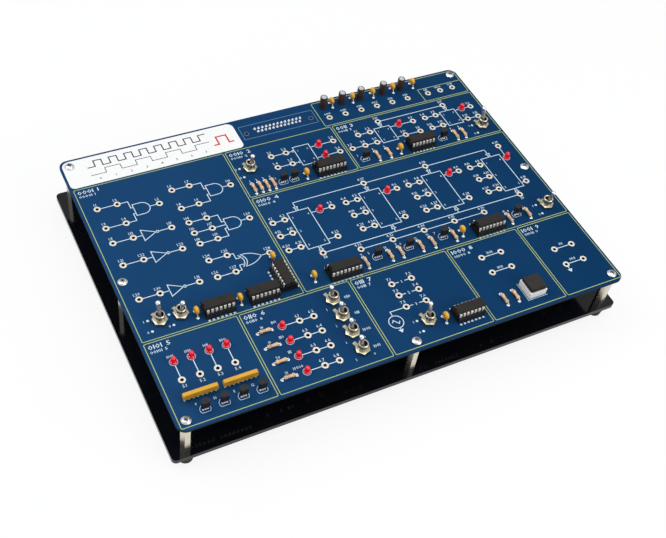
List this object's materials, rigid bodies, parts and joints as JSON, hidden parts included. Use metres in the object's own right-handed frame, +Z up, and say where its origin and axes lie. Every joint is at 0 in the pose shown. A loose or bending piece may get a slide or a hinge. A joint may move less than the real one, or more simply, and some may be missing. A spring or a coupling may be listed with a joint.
{
  "type": "digital logic trainer",
  "caption": "Bench trainer for digital logic: a printed circuit panel with plug terminals, toggle switches, lamps and socketed chips on standoffs over a black base plate.",
  "frame": {"origin": "middle of the base plate's outline, at the height of the surface that the feet stand on", "axes": "+X to the right along the front edge, +Y from front to back, +Z up"},
  "size_m": [0.297, 0.21, 0.0516],
  "materials": {
    "black_acrylic": "polished sheet",
    "foot_rubber": "moulded rubber",
    "zinc_screw": "bright zinc plating",
    "nickel_standoff": "nickel plating",
    "blue_lacquer": "glossy solder lacquer with white print",
    "plated_terminal": "tin plating",
    "socket_black": "moulded",
    "tinned_lead": "tinned",
    "chip_epoxy": "fine matt moulding",
    "chip_leg_tin": "tinned",
    "red_lens": "tinted lens",
    "can_aluminium": "satin",
    "brown_sleeve": "shrunk sleeve",
    "seal_rubber": "matt",
    "yellow_dip": "dipped lacquer",
    "resistor_lacquer": "lacquer with colour bands",
    "transistor_black": "moulded",
    "ochre_dip": "dipped lacquer",
    "connector_tin": "tinned sheet",
    "connector_black": "moulded",
    "gold_contact": "plated",
    "post_steel": "nickel plating",
    "switch_blue": "moulded",
    "switch_tin": "tinned sheet",
    "switch_nickel": "nickel plating",
    "lever_chrome": "chrome plating",
    "button_white": "moulded",
    "button_black": "fine matt",
    "spring_wire": "drawn wire"
  },
  "bodies": {
    "trainer": {"base_plate": "black_acrylic", "feet": "foot_rubber", "base_screws": "zinc_screw", "standoffs": "nickel_standoff", "circuit_panel": "blue_lacquer", "panel_screws": "zinc_screw", "terminals": "plated_terminal", "chip_sockets": "socket_black", "socket_pins": "tinned_lead", "logic_chips": "chip_epoxy", "chip_legs": "chip_leg_tin", "lamp_lenses": "red_lens", "lamp_leads": "tinned_lead", "capacitor_cans": "can_aluminium", "capacitor_sleeves": "brown_sleeve", "capacitor_seals": "seal_rubber", "capacitor_leads": "tinned_lead", "drop_capacitors": "yellow_dip", "drop_capacitor_leads": "tinned_lead", "resistors": "resistor_lacquer", "resistor_leads": "tinned_lead", "transistors": "transistor_black", "transistor_leads": "tinned_lead", "resistor_networks": "ochre_dip", "network_pins": "tinned_lead", "connector_shell": "connector_tin", "connector_insulator": "connector_black", "connector_contacts": "gold_contact", "connector_posts": "post_steel", "connector_brackets": "connector_tin", "connector_rivets": "connector_tin", "switch_housings": "switch_blue", "switch_frames": "switch_tin", "switch_lugs": "switch_tin", "switch_bushings": "switch_nickel", "locating_washers": "switch_nickel", "switch_nuts": "switch_nickel", "button_base": "button_white", "button_spring": "spring_wire", "button_pins": "tinned_lead"},
    "lever_1": {"toggle_lever_1": "lever_chrome"},
    "lever_2": {"toggle_lever_2": "lever_chrome"},
    "lever_3": {"toggle_lever_3": "lever_chrome"},
    "lever_4": {"toggle_lever_4": "lever_chrome"},
    "lever_5": {"toggle_lever_5": "lever_chrome"},
    "lever_6": {"toggle_lever_6": "lever_chrome"},
    "lever_7": {"toggle_lever_7": "lever_chrome"},
    "lever_8": {"toggle_lever_8": "lever_chrome"},
    "lever_9": {"toggle_lever_9": "lever_chrome"},
    "lever_10": {"toggle_lever_10": "lever_chrome"},
    "push_cap": {"button_cap": "button_black"}
  },
  "joints": [
    {"name": "toggle_1", "type": "hinge", "parent": "trainer", "child": "lever_1", "pos_m": [-0.129, -0.0335, 0.0392], "axis": [1, 0, 0], "range_deg": [0, 25]},
    {"name": "toggle_2", "type": "hinge", "parent": "trainer", "child": "lever_2", "pos_m": [-0.1165, -0.0335, 0.0392], "axis": [-1, 0, 0], "range_deg": [0, 25]},
    {"name": "toggle_3", "type": "hinge", "parent": "trainer", "child": "lever_3", "pos_m": [-0.034, 0.0595, 0.0392], "axis": [-1, 0, 0], "range_deg": [0, 25]},
    {"name": "toggle_4", "type": "hinge", "parent": "trainer", "child": "lever_4", "pos_m": [0.133, 0.045, 0.0392], "axis": [1, 0, 0], "range_deg": [0, 25]},
    {"name": "toggle_5", "type": "hinge", "parent": "trainer", "child": "lever_5", "pos_m": [0.133, -0.035, 0.0392], "axis": [-1, 0, 0], "range_deg": [0, 25]},
    {"name": "toggle_6", "type": "hinge", "parent": "trainer", "child": "lever_6", "pos_m": [-0.032, -0.0555, 0.0392], "axis": [0, 1, 0], "range_deg": [0, 25]},
    {"name": "toggle_7", "type": "hinge", "parent": "trainer", "child": "lever_7", "pos_m": [-0.032, -0.068, 0.0392], "axis": [0, 1, 0], "range_deg": [0, 25]},
    {"name": "toggle_8", "type": "hinge", "parent": "trainer", "child": "lever_8", "pos_m": [-0.032, -0.0805, 0.0392], "axis": [0, 1, 0], "range_deg": [0, 25]},
    {"name": "toggle_9", "type": "hinge", "parent": "trainer", "child": "lever_9", "pos_m": [-0.032, -0.093, 0.0392], "axis": [0, 1, 0], "range_deg": [0, 25]},
    {"name": "toggle_10", "type": "hinge", "parent": "trainer", "child": "lever_10", "pos_m": [0.0135, -0.089, 0.0392], "axis": [1, 0, 0], "range_deg": [0, 25]},
    {"name": "button_press", "type": "slide", "parent": "trainer", "child": "push_cap", "axis": [0, 0, 1], "range_m": [-0.0007, 0], "stiffness_N_per_m": 300, "springref_m": 0.001, "deforming": ["button_spring"]}
  ]
}
